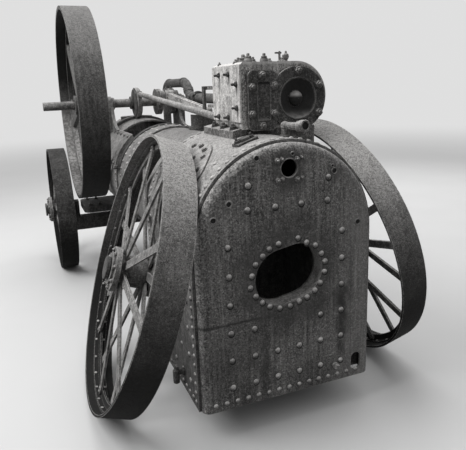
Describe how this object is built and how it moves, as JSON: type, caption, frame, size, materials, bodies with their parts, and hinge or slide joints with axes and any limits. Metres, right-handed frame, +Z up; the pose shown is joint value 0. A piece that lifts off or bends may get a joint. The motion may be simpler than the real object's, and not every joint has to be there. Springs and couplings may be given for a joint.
{
  "type": "portable steam engine",
  "caption": "Derelict portable steam engine: round-topped firebox, barrel boiler, side-lying cylinder on the firebox, large flywheel on a crankshaft over the smokebox, iron wheels",
  "frame": {"origin": "middle of the ground under the engine: halfway between its sides and its ends, at the height of the tyres' lowest line", "axes": "+X to the engine's right, +Y forward from the firebox to the smokebox, +Z up"},
  "size_m": [1.736, 3.5727, 2.153],
  "materials": {
    "rusted_plate": "rusted boiler plate",
    "pale_plate": "pale weathered boiler plate",
    "dark_casting": "dark rough casting",
    "forged_steel": "rusted forging",
    "flywheel_iron": "dark turned rim, rusted",
    "wheel_iron": "rusted wrought iron",
    "undercarriage_iron": "rusted wrought iron"
  },
  "bodies": {
    "root": {"backhead": "rusted_plate", "firehole_ring": "rusted_plate", "inner_firebox": "rusted_plate", "foundation_ring": "rusted_plate", "wrapper": "pale_plate", "throat_plate": "rusted_plate", "barrel": "pale_plate", "strap_band": "rusted_plate", "smokebox": "rusted_plate", "tube_plate": "rusted_plate", "smokebox_front": "rusted_plate", "chimney_seat": "rusted_plate", "cylinder_saddle": "pale_plate", "cylinder_block": "dark_casting", "cylinder_cover": "dark_casting", "chest_cover": "dark_casting", "side_cover": "forged_steel", "steam_elbow": "forged_steel", "exhaust_pipe": "dark_casting", "front_cover": "dark_casting", "slide_bars": "forged_steel", "crosshead": "forged_steel", "connecting_rod": "forged_steel", "motion_bracket": "dark_casting", "crankshaft": "forged_steel", "crank_bearings": "dark_casting", "eccentric": "dark_casting", "eccentric_rod": "forged_steel", "flywheel": "flywheel_iron", "hind_axles": "undercarriage_iron", "bolster": "undercarriage_iron"},
    "forecarriage": {"front_axle": "undercarriage_iron"},
    "smokebox_door": {"smokebox_door": "rusted_plate"},
    "hind_wheel_left": {"hind_rim_left": "wheel_iron", "hind_spokes_left": "wheel_iron", "hind_hub_left": "wheel_iron"},
    "hind_wheel_right": {"hind_rim_right": "wheel_iron", "hind_spokes_right": "wheel_iron", "hind_hub_right": "wheel_iron"},
    "front_wheel_left": {"front_rim_left": "wheel_iron", "front_spokes_left": "wheel_iron", "front_hub_left": "wheel_iron"},
    "front_wheel_right": {"front_rim_right": "wheel_iron", "front_spokes_right": "wheel_iron", "front_hub_right": "wheel_iron"}
  },
  "joints": [
    {"name": "steering", "type": "hinge", "parent": "root", "child": "forecarriage", "pos_m": [0, 1.18738, 0.42], "axis": [0, 0, 1], "range_deg": [-6, 6]},
    {"name": "front_left_turn", "type": "hinge", "parent": "forecarriage", "child": "front_wheel_left", "pos_m": [-0.732, 1.18738, 0.517], "axis": [-1, 0, 0], "continuous": true},
    {"name": "front_right_turn", "type": "hinge", "parent": "forecarriage", "child": "front_wheel_right", "pos_m": [0.732, 1.18738, 0.517], "axis": [1, 0, 0], "continuous": true},
    {"name": "hind_left_turn", "type": "hinge", "parent": "root", "child": "hind_wheel_left", "pos_m": [-0.575, -1.12362, 0.64785], "axis": [-0.9465, 0.0496, 0.319], "continuous": true},
    {"name": "hind_right_turn", "type": "hinge", "parent": "root", "child": "hind_wheel_right", "pos_m": [0.575, -1.06662, 0.65667], "axis": [0.9684, 0.0186, 0.2487], "continuous": true},
    {"name": "door_hinge", "type": "hinge", "parent": "root", "child": "smokebox_door", "pos_m": [0.284, 1.42538, 0.865], "axis": [0, 0, -1], "range_deg": [0, 110]}
  ]
}
